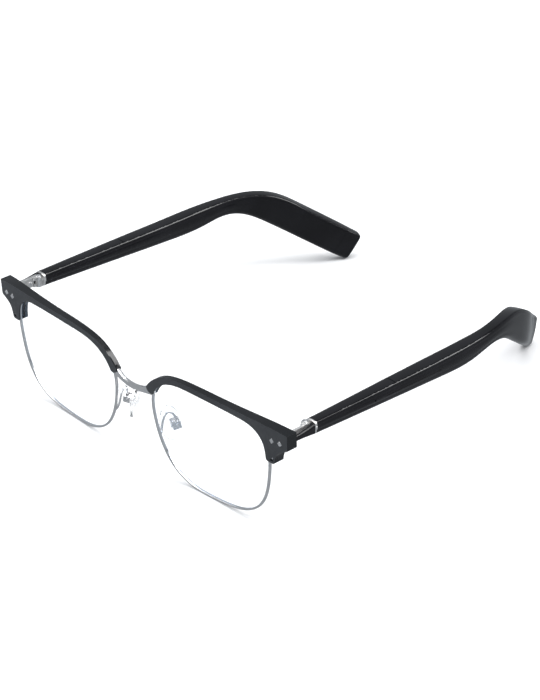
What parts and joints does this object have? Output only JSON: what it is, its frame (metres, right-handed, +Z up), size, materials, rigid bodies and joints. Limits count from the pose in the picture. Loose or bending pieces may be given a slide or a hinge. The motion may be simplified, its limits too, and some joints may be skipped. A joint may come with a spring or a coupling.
{
  "type": "smart glasses",
  "caption": "Browline glasses with a metal wire rim, dark brow bars and two folding temples that hold a board, speaker and battery.",
  "frame": {"origin": "centre of the bounding box at the table, under the glasses, which rest open on the bottoms of the rims and the temple tips", "axes": "+X to the wearer's left, +Y back along the temples, +Z up from the table; the front of the glasses is at -Y"},
  "size_m": [0.1438, 0.1512, 0.0414],
  "materials": {
    "brow": "dark acetate, satin front face and polished top",
    "rim_metal": "polished silver wire",
    "hinge_metal": "satin silver",
    "steel": "bright small hardware",
    "lens": "clear, coated",
    "pad_silicone": "clear silicone",
    "temple_gloss": "gloss black",
    "battery_foil": "foil pouch",
    "board": "solder mask",
    "driver": "dark can",
    "mesh": "dark perforated plate",
    "flex": "amber film",
    "contact_gold": "gold plated"
  },
  "bodies": {
    "front": {"bridge": "rim_metal", "brow_bar_left": "brow", "brow_rivets_left": "steel", "rim_left": "rim_metal", "lens_left": "lens", "pad_arm_left": "rim_metal", "pad_box_left": "steel", "pad_screw_left": "steel", "rim_lock_left": "rim_metal", "rim_screw_left": "steel", "end_piece_left": "hinge_metal", "end_cover_left": "temple_gloss", "end_screws_left": "steel", "hinge_screw_left": "steel", "brow_bar_right": "brow", "brow_rivets_right": "steel", "rim_right": "rim_metal", "lens_right": "lens", "pad_arm_right": "rim_metal", "pad_box_right": "steel", "pad_screw_right": "steel", "rim_lock_right": "rim_metal", "rim_screw_right": "steel", "end_piece_right": "hinge_metal", "end_cover_right": "temple_gloss", "end_screws_right": "steel", "hinge_screw_right": "steel"},
    "temple_left": {"hinge_leaf_left": "hinge_metal", "leaf_screws_left": "steel", "temple_collar_left": "hinge_metal", "temple_shell_left": "temple_gloss", "temple_lid_left": "temple_gloss", "tip_cap_left": "temple_gloss", "battery_left": "battery_foil", "circuit_board_left": "board", "speaker_left": "driver", "speaker_grille_left": "mesh", "microphone_left": "driver", "flex_cable_left": "flex", "charging_contacts_left": "contact_gold"},
    "pad_left": {"nose_pad_left": "pad_silicone", "pad_core_left": "steel"},
    "temple_right": {"hinge_leaf_right": "hinge_metal", "leaf_screws_right": "steel", "temple_collar_right": "hinge_metal", "temple_shell_right": "temple_gloss", "temple_lid_right": "temple_gloss", "tip_cap_right": "temple_gloss", "battery_right": "battery_foil", "circuit_board_right": "board", "speaker_right": "driver", "speaker_grille_right": "mesh", "microphone_right": "driver", "flex_cable_right": "flex", "charging_contacts_right": "contact_gold"},
    "pad_right": {"nose_pad_right": "pad_silicone", "pad_core_right": "steel"}
  },
  "joints": [
    {"name": "temple_left_fold", "type": "hinge", "parent": "front", "child": "temple_left", "pos_m": [0.0669, -0.05979, 0.03615], "axis": [0, 0.0505, 0.9987], "range_deg": [0, 83]},
    {"name": "temple_right_fold", "type": "hinge", "parent": "front", "child": "temple_right", "pos_m": [-0.0669, -0.05979, 0.03615], "axis": [0, -0.0505, -0.9987], "range_deg": [0, 60]},
    {"name": "nose_pad_left_tilt", "type": "hinge", "parent": "front", "child": "pad_left", "pos_m": [0.01187, -0.06703, 0.01571], "axis": [0.4167, 0.8949, 0.1597], "range_deg": [-8, 8]},
    {"name": "nose_pad_right_tilt", "type": "hinge", "parent": "front", "child": "pad_right", "pos_m": [-0.01187, -0.06703, 0.01571], "axis": [-0.4167, 0.8949, 0.1597], "range_deg": [-8, 8]}
  ]
}
